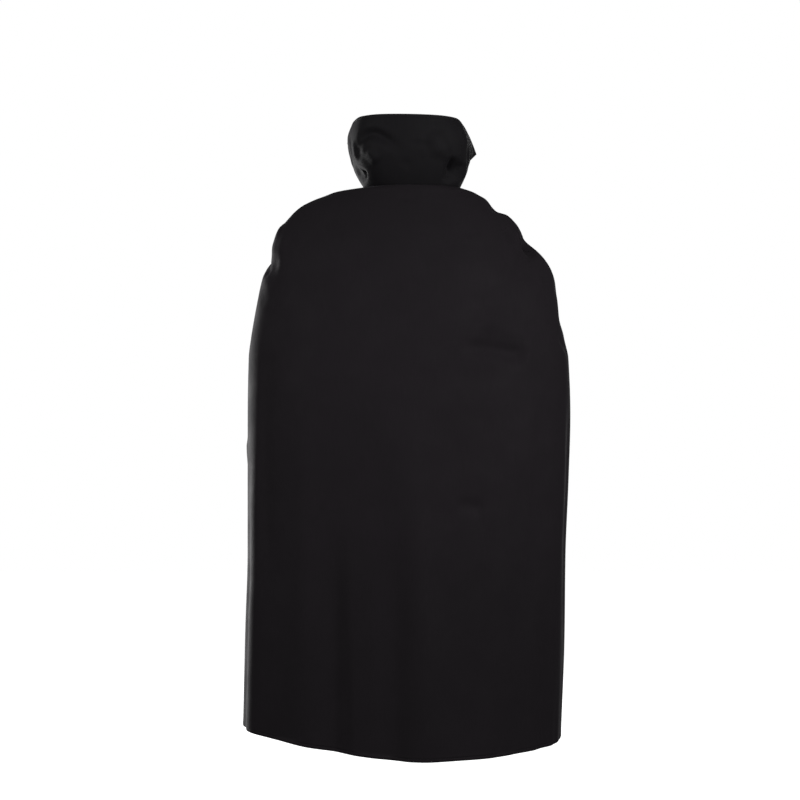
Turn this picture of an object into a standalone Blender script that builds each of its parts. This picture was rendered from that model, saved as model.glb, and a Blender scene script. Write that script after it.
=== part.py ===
"""Reversible cape with a tall stand collar, in the shape that it hangs in from the neck and shoulders.

Sizes are in metres. +Z is up, the front of the cape faces -Y and its left side is +X.
The origin is the middle of the neck opening, level with the collar seam at the back.
An angle goes round the cape: 0 at the middle of the back, 90 at the left side seam,
-90 at the right side seam and 180 at the middle of the front.
Each piece is a closed wall of cloth. Its outer face is worked out first, from the tables of
sections and folds, and its inner face is the same points moved in by the wall.
"""

import math

import bmesh
import bpy
import numpy as np
from mathutils import Matrix

# The cloth: two layers sewn back to back, and the same two with a stiffening between them
PANEL_WALL = 0.0018
COLLAR_WALL = 0.0024
SEAM_GAP = 0.0003

# Heights under the collar seam. The hem rises from the middle of the back to each side, and
# a lower power makes it rise sooner.
HEM = -1.221
LEFT_HEM_LIFT = 0.046
LEFT_HEM_POWER = 1.1
RIGHT_HEM_LIFT = 0.021
RIGHT_HEM_POWER = 2.2
FRONT_HEM_LIFT = 0.020

# The neck seam sinks towards the middle of the front, and less so further down
FRONT_NECK_DROP = 0.050
NECK_DROP_POWER = 1.5
FRONT_DROP_ENDS = -0.350

# How finely the pieces are cut into facets. Down to UPPER_END each section is a row.
BACK_COLUMNS = 40
FRONT_COLUMNS = 18
UPPER_END = -0.378
LOWER_ROWS = 17
COLLAR_COLUMNS = 52
COLLAR_ROWS = 11

# Angles of the side seams and of the collar's two front ends
SIDE_SEAM = 90.0
COLLAR_END = 168.0

# Sections of the cape from the neck to the hem. Left and right are half widths and back and
# front are depths. Round is 2 for an ellipse, less for a shape that is sharp at the shoulder
# and more for a squarer one. Opening is half the angle that the front edges leave open.
SECTION_COLUMNS = ("height", "left", "right", "back", "front", "round", "opening")
SECTIONS = (
    (0.000, 0.097, 0.112, 0.078, 0.075, 2.00, 12.0),
    (-0.009, 0.161, 0.141, 0.084, 0.082, 1.75, 9.8),
    (-0.018, 0.186, 0.158, 0.089, 0.087, 1.62, 9.9),
    (-0.026, 0.208, 0.173, 0.093, 0.092, 1.58, 9.9),
    (-0.040, 0.236, 0.192, 0.100, 0.100, 1.56, 9.6),
    (-0.053, 0.252, 0.209, 0.106, 0.107, 1.58, 9.3),
    (-0.066, 0.264, 0.224, 0.112, 0.114, 1.62, 9.0),
    (-0.079, 0.275, 0.236, 0.118, 0.121, 1.66, 8.8),
    (-0.092, 0.284, 0.246, 0.124, 0.128, 1.70, 8.6),
    (-0.106, 0.292, 0.257, 0.129, 0.134, 1.75, 8.4),
    (-0.119, 0.298, 0.267, 0.134, 0.140, 1.80, 8.2),
    (-0.132, 0.303, 0.277, 0.138, 0.145, 1.84, 8.1),
    (-0.145, 0.307, 0.286, 0.142, 0.150, 1.88, 8.0),
    (-0.158, 0.311, 0.295, 0.146, 0.154, 1.92, 8.0),
    (-0.172, 0.315, 0.303, 0.150, 0.158, 1.96, 8.0),
    (-0.185, 0.318, 0.309, 0.153, 0.161, 2.00, 8.0),
    (-0.211, 0.325, 0.318, 0.159, 0.168, 2.08, 8.0),
    (-0.246, 0.332, 0.326, 0.166, 0.176, 2.16, 8.1),
    (-0.290, 0.340, 0.333, 0.174, 0.184, 2.24, 8.3),
    (-0.334, 0.347, 0.341, 0.180, 0.190, 2.30, 8.5),
    (-0.378, 0.352, 0.350, 0.184, 0.195, 2.36, 8.8),
    (-0.500, 0.354, 0.354, 0.192, 0.203, 2.44, 9.6),
    (-0.642, 0.354, 0.350, 0.198, 0.209, 2.48, 10.4),
    (-0.818, 0.354, 0.343, 0.206, 0.215, 2.48, 11.3),
    (-0.994, 0.359, 0.341, 0.214, 0.222, 2.46, 12.2),
    (HEM, 0.364, 0.333, 0.225, 0.232, 2.40, 13.5),
)

# Soft folds of the cape, each between two places on the cloth. Bow is how far the fold curves
# up or down at its middle. Width is half across and depth is inwards, so a ridge has a depth
# under zero. A fold that ends under the hem runs out through it.
FOLD_COLUMNS = ("angle", "height", "to_angle", "to_height", "bow", "width", "depth")
FOLDS = (
    (24.0, -0.700, 22.0, -1.900, 0.0, 0.055, 0.010),
    (3.0, -0.680, 4.0, -1.900, 0.0, 0.050, 0.007),
    (0.5, -0.400, -6.5, -1.900, 0.0, 0.090, -0.014),
    (-38.0, -0.620, -40.0, -1.900, 0.0, 0.060, 0.007),
    (48.0, -0.560, 47.0, -1.900, 0.0, 0.070, 0.008),
    (66.0, -0.420, 68.0, -1.900, 0.0, 0.050, -0.005),
    (-64.0, -0.380, -66.0, -1.900, 0.0, 0.050, -0.005),
    (-20.0, -0.334, -44.0, -0.372, 0.0, 0.050, 0.008),
    (-124.0, -0.028, -58.0, -0.052, 0.0, 0.034, 0.008),
    (-118.0, -0.082, -52.0, -0.152, 0.0, 0.034, 0.007),
    (-70.0, -0.150, -100.0, -0.215, 0.0, 0.045, -0.005),
    (-84.0, -0.118, -63.0, -0.140, 0.0, 0.022, 0.010),
    (-80.0, -0.270, -110.0, -0.320, 0.0, 0.045, 0.005),
    (122.0, -0.126, 58.0, -0.190, 0.0, 0.038, 0.008),
    (84.0, -0.085, 100.0, -0.100, 0.0, 0.035, -0.004),
    (112.0, -0.260, 116.0, -1.900, 0.0, 0.055, 0.016),
    (130.0, -0.200, 134.0, -1.900, 0.0, 0.050, -0.014),
    (146.0, -0.280, 151.0, -1.900, 0.0, 0.048, 0.018),
    (-110.0, -0.300, -113.0, -1.900, 0.0, 0.052, 0.014),
    (-126.0, -0.230, -131.0, -1.900, 0.0, 0.055, -0.015),
    (-145.0, -0.200, -148.0, -1.900, 0.0, 0.048, 0.017),
)
FOLD_FADE = 0.22
FOLD_STEPS = 9
WAY_EVENINGS = 14

# The collar stands on the neck seam. Each rib says where the cloth passes at half its height
# and at its top edge. The two end ribs are the flared front points.
RIB_COLUMNS = ("angle", "mid_x", "mid_y", "mid_z", "top_x", "top_y", "top_z")
RIBS = (
    (-168.0, -0.080, -0.104, 0.014, -0.153, -0.112, 0.088),
    (-140.0, -0.124, -0.072, 0.040, -0.144, -0.082, 0.106),
    (-115.0, -0.137, -0.036, 0.064, -0.131, -0.046, 0.126),
    (-90.0, -0.135, 0.004, 0.076, -0.118, 0.000, 0.140),
    (-60.0, -0.118, 0.056, 0.076, -0.104, 0.048, 0.147),
    (-30.0, -0.066, 0.090, 0.075, -0.062, 0.084, 0.149),
    (0.0, 0.000, 0.101, 0.074, 0.000, 0.095, 0.150),
    (30.0, 0.065, 0.091, 0.075, 0.064, 0.085, 0.151),
    (60.0, 0.111, 0.057, 0.077, 0.105, 0.049, 0.151),
    (90.0, 0.127, 0.005, 0.079, 0.120, 0.000, 0.149),
    (115.0, 0.131, -0.036, 0.068, 0.129, -0.048, 0.140),
    (140.0, 0.119, -0.073, 0.045, 0.137, -0.086, 0.125),
    (168.0, 0.076, -0.104, 0.020, 0.139, -0.116, 0.112),
)

# Creases of the collar, along lines whose ends are an angle and a share of the height. The
# first is an arch.
CREASE_COLUMNS = ("angle", "share", "to_angle", "to_share", "bow", "width", "depth")
CREASES = (
    (68.0, 0.44, 4.0, 0.36, 0.32, 0.022, 0.008),
    (63.0, 0.58, 59.0, 0.34, 0.0, 0.022, 0.006),
    (45.0, 0.52, 31.0, 0.30, 0.0, 0.026, -0.005),
    (-44.0, 0.42, -50.0, 0.04, 0.0, 0.024, 0.010),
    (-62.0, 0.36, -66.0, 0.04, 0.0, 0.030, 0.007),
    (-26.0, 0.80, -30.0, 0.34, 0.0, 0.030, -0.005),
    (96.0, 0.26, 62.0, 0.08, 0.0, 0.026, 0.008),
    (128.0, 0.74, 106.0, 0.30, 0.05, 0.026, 0.007),
    (-124.0, 0.70, -104.0, 0.28, 0.05, 0.026, 0.007),
)
CREASE_FADE = 0.35
CREASES_START = 0.12

# The ribbon tie at the throat. It starts at the top of each front edge, is drawn in at a
# plain knot and has two ends, the right one a little shorter.
RIBBON_WALL = 0.0012
RIBBON_CLEAR = 0.0005
RIBBON_FROM_TOP = 0.0012
RIBBON_AT_EDGE = 0.0095
RIBBON_ACROSS = 5
KNOT_MIDDLE = (0.0, -0.0800, -0.0545)
KNOT_SIZE = (0.0160, 0.0090, 0.0135)
KNOT_ROUNDING = 0.0030
RIBBON_COLUMNS = ("x", "y", "z", "width")
RIBBON_TO_KNOT = (
    (0.0150, -0.0768, -0.0540, 0.0086),
    (0.0083, -0.0796, -0.0545, 0.0070),
)
RIBBON_END = (
    (0.0031, -0.0800, -0.0616, 0.0050),
    (0.0048, -0.0850, -0.0700, 0.0080),
    (0.0078, -0.0930, -0.0840, 0.0120),
    (0.0110, -0.1030, -0.1080, 0.0120),
    (0.0150, -0.1170, -0.1440, 0.0120),
    (0.0172, -0.1300, -0.1820, 0.0120),
    (0.0150, -0.1390, -0.2180, 0.0120),
    (0.0185, -0.1470, -0.2520, 0.0120),
)
RIGHT_END_SHARE = 0.90

# Finishes: a black woven cloth, the same one drawn over a stiffening, and a black satin ribbon
CLOTH_BLACK = (0.0112, 0.0104, 0.0112, 1.0)
CLOTH_ROUGHNESS = 0.78
COLLAR_ROUGHNESS = 0.74
RIBBON_BLACK = (0.0095, 0.0092, 0.0098, 1.0)
RIBBON_ROUGHNESS = 0.55


# Small tools for tables and grids
def column(table, names, name):
    """One named column of a table, as an array."""
    at = names.index(name)
    return np.array([row[at] for row in table], float)


def smooth_step(share):
    """0 below 0, 1 above 1, and a soft curve between."""
    share = np.clip(share, 0.0, 1.0)
    return share * share * (3.0 - 2.0 * share)


def smooth_curve(known, values, wanted):
    """A curve through the values, with no overshoot between them."""
    known, values = np.asarray(known, float), np.asarray(values, float)
    order = np.argsort(known)
    known, values = known[order], values[order]
    step = np.diff(known)
    slope = np.diff(values) / step
    tangent = np.zeros_like(values)
    same_way = slope[:-1] * slope[1:] > 0
    inner = 2.0 * slope[:-1] * slope[1:] / np.where(same_way, slope[:-1] + slope[1:], 1.0)
    tangent[1:-1] = np.where(same_way, inner, 0.0)
    tangent[0], tangent[-1] = slope[0], slope[-1]
    at = np.clip(np.searchsorted(known, wanted) - 1, 0, len(step) - 1)
    t = (wanted - known[at]) / step[at]
    rise = (1.0 + 2.0 * t) * (1.0 - t) ** 2 * values[at] + t * t * (3.0 - 2.0 * t) * values[at + 1]
    turn = t * (1.0 - t) ** 2 * tangent[at] - t * t * (1.0 - t) * tangent[at + 1]
    return rise + turn * step[at]


def along_line(grid, line):
    """How far each point of a grid is from a line of points, and its share of the way along it."""
    away = np.full(grid.shape[:2], np.inf)
    share = np.zeros(grid.shape[:2])
    runs = len(line) - 1
    for i in range(runs):
        run = line[i + 1] - line[i]
        part = np.clip((grid - line[i]) @ run / (run @ run), 0.0, 1.0)
        gap = np.linalg.norm(grid - line[i] - part[:, :, None] * run, axis=2)
        share = np.where(gap < away, (i + part) / runs, share)
        away = np.minimum(gap, away)
    return away, share


def fold_depth(grid, table, place, fade):
    """How far the folds of a table push each point of a grid inwards.

    place gives the points of the cloth at the two kinds of value that name an end of a fold.
    """
    total = np.zeros(grid.shape[:2])
    steps = np.linspace(0.0, 1.0, FOLD_STEPS)
    for first, second, to_first, to_second, bow, width, depth in table:
        bowed = second + (to_second - second) * steps + 4.0 * bow * steps * (1.0 - steps)
        line = place(first + (to_first - first) * steps, bowed)
        away, share = along_line(grid, line)
        profile = 0.5 + 0.5 * np.cos(math.pi * np.minimum(away / width, 1.0))
        total += depth * profile * smooth_step(np.minimum(share, 1.0 - share) / fade)
    return total


def outward(grid):
    """The unit normals of a grid of points whose rows go down and whose columns go to the left."""
    to_left = np.gradient(grid, axis=1)
    down = np.gradient(grid, axis=0)
    normal = np.cross(to_left, down)
    return normal / np.linalg.norm(normal, axis=2, keepdims=True)


def softly_outward(grid):
    """Outward directions evened out along the rows, so that a push across a ridge never crosses itself."""
    way = outward(grid)
    for _ in range(WAY_EVENINGS):
        way[:, 1:-1] = (way[:, :-2] + 2.0 * way[:, 1:-1] + way[:, 2:]) / 4.0
    return way / np.linalg.norm(way, axis=2, keepdims=True)


def pull_in(faces, at, towards):
    """Moves one edge column of both faces of a wall back by half a seam gap."""
    for face in faces:
        run = face[:, towards] - face[:, at]
        face[:, at] += run / np.linalg.norm(run, axis=1, keepdims=True) * SEAM_GAP / 2.0


# The form of the cape
def section_value(name, height):
    heights = column(SECTIONS, SECTION_COLUMNS, "height")
    return smooth_curve(heights, column(SECTIONS, SECTION_COLUMNS, name), height)


def row_heights():
    """The heights of the rows of facets: each upper section, then even steps to the hem."""
    upper = [height for height in column(SECTIONS, SECTION_COLUMNS, "height") if height > UPPER_END]
    return np.concatenate([upper, np.linspace(UPPER_END, HEM, LOWER_ROWS + 1)])


def cape_points(angle, height):
    """Points of the cape's outer face without its folds. Under the hem they go straight down."""
    turn, at = np.radians(angle), np.maximum(height, HEM)
    power = 2.0 / section_value("round", at)
    side = np.where(turn > 0, section_value("left", at), section_value("right", at))
    depth = np.where(np.cos(turn) > 0, section_value("back", at), section_value("front", at))
    x = side * np.sign(np.sin(turn)) * np.abs(np.sin(turn)) ** power
    y = depth * np.sign(np.cos(turn)) * np.abs(np.cos(turn)) ** power
    in_front = np.maximum(-np.cos(turn), 0.0)
    sideways = np.abs(np.sin(turn))
    left_lift = LEFT_HEM_LIFT * sideways**LEFT_HEM_POWER
    right_lift = RIGHT_HEM_LIFT * sideways**RIGHT_HEM_POWER
    lift = np.where(turn > 0, left_lift, right_lift) + FRONT_HEM_LIFT * in_front**2
    drop = FRONT_NECK_DROP * in_front**NECK_DROP_POWER * (1.0 - smooth_step(at / FRONT_DROP_ENDS))
    z = height + lift * (at / HEM) ** 2 - drop
    return np.stack(np.broadcast_arrays(x, y, z), axis=-1)


def cape_grid():
    """The outer face of the whole cape, from the right front edge round to the left one."""
    heights = row_heights()[:, None]
    back = np.linspace(-SIDE_SEAM, SIDE_SEAM, BACK_COLUMNS + 1)[None, :]
    past_seam = np.linspace(0.0, 1.0, FRONT_COLUMNS + 1)[None, 1:]
    front = SIDE_SEAM + (180.0 - section_value("opening", heights) - SIDE_SEAM) * past_seam
    angle = np.hstack([-front[:, ::-1], np.repeat(back, len(heights), axis=0), front])
    plain = cape_points(angle, heights)
    inwards = fold_depth(plain, FOLDS, cape_points, FOLD_FADE)
    return plain - softly_outward(plain) * inwards[:, :, None]


def rib_value(name, angle):
    return smooth_curve(column(RIBS, RIB_COLUMNS, "angle"), column(RIBS, RIB_COLUMNS, name), angle)


def collar_points(angle, share):
    """Points of the collar's outer face without its creases, by their share of its height."""
    turn = np.radians(angle)
    neck = dict(zip(SECTION_COLUMNS, SECTIONS[0]))
    x = np.where(turn > 0, neck["left"], neck["right"]) * np.sin(turn)
    y = np.where(np.cos(turn) > 0, neck["back"], neck["front"]) * np.cos(turn)
    z = SEAM_GAP - FRONT_NECK_DROP * np.maximum(-np.cos(turn), 0.0) ** NECK_DROP_POWER
    base = {"x": x, "y": y, "z": z}
    at_base = (1.0 - share) * (1.0 - 2.0 * share)
    at_middle = 4.0 * share * (1.0 - share)
    at_top = share * (2.0 * share - 1.0)
    point = [
        at_base * base[axis]
        + at_middle * rib_value("mid_" + axis, angle)
        + at_top * rib_value("top_" + axis, angle)
        for axis in "xyz"
    ]
    return np.stack(point, axis=-1)


def collar_grid():
    """The outer face of the collar, from its top edge down to the neck seam."""
    angle = np.linspace(-COLLAR_END, COLLAR_END, COLLAR_COLUMNS + 1)[None, :]
    share = np.linspace(1.0, 0.0, COLLAR_ROWS + 1)[:, None]
    plain = collar_points(angle, share)
    inwards = fold_depth(plain, CREASES, collar_points, CREASE_FADE)
    inwards *= smooth_step(share / CREASES_START)
    return plain - softly_outward(plain) * inwards[:, :, None]


# Objects
def clear_scene():
    for item in list(bpy.data.objects):
        bpy.data.objects.remove(item, do_unlink=True)


def cloth_material(name, colour, roughness):
    material = bpy.data.materials.new(name)
    material.use_nodes = True
    shader = material.node_tree.nodes["Principled BSDF"]
    shader.inputs["Base Color"].default_value = colour
    shader.inputs["Roughness"].default_value = roughness
    shader.inputs["Metallic"].default_value = 0.0
    material.diffuse_color = colour
    return material


def link_mesh(name, bm, material):
    """Puts a closed bmesh into the scene as one smooth object."""
    bmesh.ops.recalc_face_normals(bm, faces=bm.faces)
    mesh = bpy.data.meshes.new(name)
    bm.to_mesh(mesh)
    bm.free()
    mesh.materials.append(material)
    for face in mesh.polygons:
        face.use_smooth = True
    made = bpy.data.objects.new(name, mesh)
    bpy.context.scene.collection.objects.link(made)
    return made


def wall_object(name, outer, inner, material):
    """A closed wall between two grids of points of the same size."""
    rows, columns = outer.shape[:2]
    bm = bmesh.new()
    out = [[bm.verts.new(outer[r, c]) for c in range(columns)] for r in range(rows)]
    ins = [[bm.verts.new(inner[r, c]) for c in range(columns)] for r in range(rows)]
    for r in range(rows - 1):
        for c in range(columns - 1):
            bm.faces.new((out[r][c], out[r + 1][c], out[r + 1][c + 1], out[r][c + 1]))
            bm.faces.new((ins[r][c], ins[r][c + 1], ins[r + 1][c + 1], ins[r + 1][c]))
    for r, turned in ((0, False), (rows - 1, True)):
        for c in range(columns - 1):
            edge = (out[r][c], out[r][c + 1], ins[r][c + 1], ins[r][c])
            bm.faces.new(edge[::-1] if turned else edge)
    for c, turned in ((0, True), (columns - 1, False)):
        for r in range(rows - 1):
            edge = (out[r][c], out[r + 1][c], ins[r + 1][c], ins[r][c])
            bm.faces.new(edge[::-1] if turned else edge)
    bmesh.ops.triangulate(bm, faces=bm.faces)
    return link_mesh(name, bm, material)


def make_panels(outer, inner, material):
    """The back and the two fronts, cut out of one grid at the side seams."""
    right_seam = FRONT_COLUMNS
    left_seam = FRONT_COLUMNS + BACK_COLUMNS
    spans = {
        "front_right_panel": (0, right_seam),
        "back_panel": (right_seam, left_seam),
        "front_left_panel": (left_seam, left_seam + FRONT_COLUMNS),
    }
    for name, (first, last) in spans.items():
        faces = [outer[:, first : last + 1].copy(), inner[:, first : last + 1].copy()]
        if first in (right_seam, left_seam):
            pull_in(faces, 0, 1)
        if last in (right_seam, left_seam):
            pull_in(faces, -1, -2)
        wall_object(name, faces[0], faces[1], material)


def make_collar(material):
    outer = collar_grid()
    inner = outer - outward(outer) * COLLAR_WALL
    inner[-1, :, 2] = outer[-1, :, 2]
    wall_object("collar", outer, inner, material)


def make_ribbon(name, lines, material):
    """A flat ribbon through lines of points that lie across it."""
    grid = np.array(lines, float)
    half = outward(grid) * RIBBON_WALL / 2.0
    wall_object(name, grid + half, grid - half, material)


def throat_line(outer, inner, edge, beside):
    """Points just clear of the top of a front edge, in the middle of the panel's wall."""
    away = outer[:, edge] - outer[:, beside]
    away /= np.linalg.norm(away, axis=1, keepdims=True)
    line = (outer[:, edge] + inner[:, edge]) / 2.0 + away * RIBBON_CLEAR
    length = np.concatenate([[0.0], np.cumsum(np.linalg.norm(np.diff(line, axis=0), axis=1))])
    wanted = RIBBON_FROM_TOP + RIBBON_AT_EDGE * np.linspace(0.0, 1.0, RIBBON_ACROSS)
    return np.stack([np.interp(wanted, length, line[:, axis]) for axis in range(3)], axis=1)


def lines_across(table, mirror, way):
    """Lines of points across a ribbon, one for each row of its table."""
    lines = []
    for x, y, z, width in table:
        steps = np.linspace(-0.5, 0.5, RIBBON_ACROSS)[:, None] * width
        lines.append(np.array([x * mirror, y, z]) + steps * np.array(way))
    return lines


def make_knot(material):
    bm = bmesh.new()
    place = Matrix.Translation(KNOT_MIDDLE) @ Matrix.Diagonal((*KNOT_SIZE, 1.0))
    bmesh.ops.create_cube(bm, size=1.0, matrix=place)
    bmesh.ops.bevel(
        bm, geom=list(bm.edges), offset=KNOT_ROUNDING, segments=3, profile=0.5, affect="EDGES"
    )
    link_mesh("tie_knot", bm, material)


def make_tie(outer, inner, material):
    """Two ribbons from the front edges to a plain knot, and the two ends that hang from it."""
    sides = {"left": (1.0, -1, -2, 1.0), "right": (-1.0, 0, 1, RIGHT_END_SHARE)}
    top = np.array(RIBBON_END[0])
    for side, (mirror, edge, beside, share) in sides.items():
        start = throat_line(outer, inner, edge, beside)
        to_knot = lines_across(RIBBON_TO_KNOT, mirror, (0.0, 0.0, -1.0))
        make_ribbon(f"tie_{side}", [start, *to_knot], material)
        hanging = [top + (np.array(row) - top) * (share, share, share, 1.0) for row in RIBBON_END]
        make_ribbon(f"tie_{side}_end", lines_across(hanging, mirror, (1.0, 0.0, 0.0)), material)
    make_knot(material)


def build():
    clear_scene()
    cloth = cloth_material("cape_cloth", CLOTH_BLACK, CLOTH_ROUGHNESS)
    collar_cloth = cloth_material("collar_cloth", CLOTH_BLACK, COLLAR_ROUGHNESS)
    ribbon = cloth_material("tie_ribbon", RIBBON_BLACK, RIBBON_ROUGHNESS)
    outer = cape_grid()
    inner = outer - outward(outer) * PANEL_WALL
    make_panels(outer, inner, cloth)
    make_collar(collar_cloth)
    make_tie(outer, inner, ribbon)


build()
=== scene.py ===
# %% [markdown]
# # A long black reversible cape with a tall stand collar
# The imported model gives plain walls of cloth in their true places. This lesson dresses them:
# finer sheets of cloth with creases, turned edges, stitches, a ribbon tie, woven finishes,
# a pale floor, soft light and the camera. Sizes are in metres, +Z is up, the open front
# faces -Y, and the origin is the middle of the neck opening.

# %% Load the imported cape
import math

import bpy
import numpy as np
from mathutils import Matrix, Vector


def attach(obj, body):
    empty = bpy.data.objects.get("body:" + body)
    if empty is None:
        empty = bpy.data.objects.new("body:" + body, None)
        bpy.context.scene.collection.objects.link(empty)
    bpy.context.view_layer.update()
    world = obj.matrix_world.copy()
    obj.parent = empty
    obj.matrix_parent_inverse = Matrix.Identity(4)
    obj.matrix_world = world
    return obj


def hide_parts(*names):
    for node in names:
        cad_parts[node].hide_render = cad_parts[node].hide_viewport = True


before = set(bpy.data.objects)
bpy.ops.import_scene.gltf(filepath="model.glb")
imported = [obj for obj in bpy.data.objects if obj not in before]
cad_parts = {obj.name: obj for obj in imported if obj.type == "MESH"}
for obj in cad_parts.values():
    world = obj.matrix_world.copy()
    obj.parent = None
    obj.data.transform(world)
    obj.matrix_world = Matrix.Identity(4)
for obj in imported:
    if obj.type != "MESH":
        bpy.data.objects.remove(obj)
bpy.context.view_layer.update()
print("nodes", sorted(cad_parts))


# %% [markdown]
# ## The camera
# The picture shows the cape from behind, level with its middle. A long lens from more than
# four metres keeps its sides upright, as in a studio. The view is 1.76 m wide at the cape.

# %% Camera behind the cape
VIEW_WIDTH = 1.76
CAMERA_PLACE = (0.0198, 4.35, -0.466)
SENSOR = 36.0

lens = bpy.data.cameras.new("studio_camera")
lens.sensor_width = SENSOR
lens.lens = SENSOR * CAMERA_PLACE[1] / VIEW_WIDTH
camera = bpy.data.objects.new("studio_camera", lens)
camera.location = CAMERA_PLACE
camera.rotation_euler = (math.radians(90.0), 0.0, math.radians(180.0))
bpy.context.scene.collection.objects.link(camera)
bpy.context.scene.camera = camera
print("lens in mm", round(lens.lens, 1))


# %% [markdown]
# ## The cut of the cape as a form
# A cape this full could be draped by simulation, but its outline is known from the picture,
# so each level of the hanging cloth is described by one section: how far it reaches to the
# left, right, back and front, how round it is and how far the front edges stand open.
# A smooth curve joins the sections from the neck seam to the hem.

# %% Sections of the hanging cloth
HEM = -1.221
LEFT_HEM_LIFT = 0.046
LEFT_HEM_POWER = 1.1
RIGHT_HEM_LIFT = 0.021
RIGHT_HEM_POWER = 2.2
FRONT_HEM_LIFT = 0.020
FRONT_NECK_DROP = 0.050
NECK_DROP_POWER = 1.5
FRONT_DROP_ENDS = -0.350
SIDE_SEAM = 90.0
PANEL_WALL = 0.0018

SECTION_COLUMNS = ("height", "left", "right", "back", "front", "round", "opening")
SECTIONS = (
    (0.000, 0.097, 0.112, 0.078, 0.075, 2.00, 12.0),
    (-0.009, 0.161, 0.141, 0.084, 0.082, 1.75, 9.8),
    (-0.018, 0.186, 0.158, 0.089, 0.087, 1.62, 9.9),
    (-0.026, 0.208, 0.173, 0.093, 0.092, 1.58, 9.9),
    (-0.040, 0.236, 0.192, 0.100, 0.100, 1.56, 9.6),
    (-0.053, 0.252, 0.209, 0.106, 0.107, 1.58, 9.3),
    (-0.066, 0.264, 0.224, 0.112, 0.114, 1.62, 9.0),
    (-0.079, 0.275, 0.236, 0.118, 0.121, 1.66, 8.8),
    (-0.092, 0.284, 0.246, 0.124, 0.128, 1.70, 8.6),
    (-0.106, 0.292, 0.257, 0.129, 0.134, 1.75, 8.4),
    (-0.119, 0.298, 0.267, 0.134, 0.140, 1.80, 8.2),
    (-0.132, 0.303, 0.277, 0.138, 0.145, 1.84, 8.1),
    (-0.145, 0.307, 0.286, 0.142, 0.150, 1.88, 8.0),
    (-0.158, 0.311, 0.295, 0.146, 0.154, 1.92, 8.0),
    (-0.172, 0.315, 0.303, 0.150, 0.158, 1.96, 8.0),
    (-0.185, 0.318, 0.309, 0.153, 0.161, 2.00, 8.0),
    (-0.211, 0.325, 0.318, 0.159, 0.168, 2.08, 8.0),
    (-0.246, 0.332, 0.326, 0.166, 0.176, 2.16, 8.1),
    (-0.290, 0.340, 0.333, 0.174, 0.184, 2.24, 8.3),
    (-0.334, 0.347, 0.341, 0.180, 0.190, 2.30, 8.5),
    (-0.378, 0.352, 0.350, 0.184, 0.195, 2.36, 8.8),
    (-0.500, 0.354, 0.354, 0.192, 0.203, 2.44, 9.6),
    (-0.642, 0.354, 0.350, 0.198, 0.209, 2.48, 10.4),
    (-0.818, 0.354, 0.343, 0.206, 0.215, 2.48, 11.3),
    (-0.994, 0.359, 0.341, 0.214, 0.222, 2.46, 12.2),
    (HEM, 0.364, 0.333, 0.225, 0.232, 2.40, 13.5),
)


def column(table, names, name):
    """One named column of a table."""
    at = names.index(name)
    return np.array([row[at] for row in table], float)


def smooth_step(share):
    """0 below 0, 1 above 1 and a soft curve between."""
    share = np.clip(share, 0.0, 1.0)
    return share * share * (3.0 - 2.0 * share)


def smooth_curve(known, values, wanted):
    """A curve through the values with no overshoot between them."""
    order = np.argsort(known)
    known, values = np.asarray(known, float)[order], np.asarray(values, float)[order]
    step = np.diff(known)
    slope = np.diff(values) / step
    tangent = np.zeros_like(values)
    same_way = slope[:-1] * slope[1:] > 0
    inner = 2.0 * slope[:-1] * slope[1:] / np.where(same_way, slope[:-1] + slope[1:], 1.0)
    tangent[1:-1] = np.where(same_way, inner, 0.0)
    tangent[0], tangent[-1] = slope[0], slope[-1]
    at = np.clip(np.searchsorted(known, wanted) - 1, 0, len(step) - 1)
    t = (wanted - known[at]) / step[at]
    rise = (1.0 + 2.0 * t) * (1.0 - t) ** 2 * values[at] + t * t * (3.0 - 2.0 * t) * values[at + 1]
    turn = t * (1.0 - t) ** 2 * tangent[at] - t * t * (1.0 - t) * tangent[at + 1]
    return rise + turn * step[at]


def section_value(name, height):
    """One column of the sections, at any height."""
    heights = column(SECTIONS, SECTION_COLUMNS, "height")
    return smooth_curve(heights, column(SECTIONS, SECTION_COLUMNS, name), height)


def cape_points(angle, height):
    """Points of the cape's outer face without folds. Angle 0 is the back, 90 the left side."""
    turn, at = np.radians(angle), np.maximum(height, HEM)
    power = 2.0 / section_value("round", at)
    side = np.where(turn > 0, section_value("left", at), section_value("right", at))
    depth = np.where(np.cos(turn) > 0, section_value("back", at), section_value("front", at))
    x = side * np.sign(np.sin(turn)) * np.abs(np.sin(turn)) ** power
    y = depth * np.sign(np.cos(turn)) * np.abs(np.cos(turn)) ** power
    in_front = np.maximum(-np.cos(turn), 0.0)
    sideways = np.abs(np.sin(turn))
    left_lift = LEFT_HEM_LIFT * sideways**LEFT_HEM_POWER
    right_lift = RIGHT_HEM_LIFT * sideways**RIGHT_HEM_POWER
    lift = np.where(turn > 0, left_lift, right_lift) + FRONT_HEM_LIFT * in_front**2
    drop = FRONT_NECK_DROP * in_front**NECK_DROP_POWER * (1.0 - smooth_step(at / FRONT_DROP_ENDS))
    z = height + lift * (at / HEM) ** 2 - drop
    return np.stack(np.broadcast_arrays(x, y, z), axis=-1)


print("width at the hem", round(float(np.ptp(cape_points(np.array([-90.0, 90.0]), HEM)[:, 0])), 3))


# %% [markdown]
# ## Folds and creases
# Cloth that hangs from the shoulders breaks into long soft folds, and the places where it
# turns over an arm or a shoulder hold short dents. They could be sculpted with a brush.
# Here each is one row of a table: where it starts and ends, how wide it is and how deep,
# so the folds stay uneven, as real ones are, and can be read and changed. The first table
# is the large folds that the solids have too. The second is the finer creases, one wide
# shallow trough low on the back, and the lip where the hem curls out.

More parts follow.
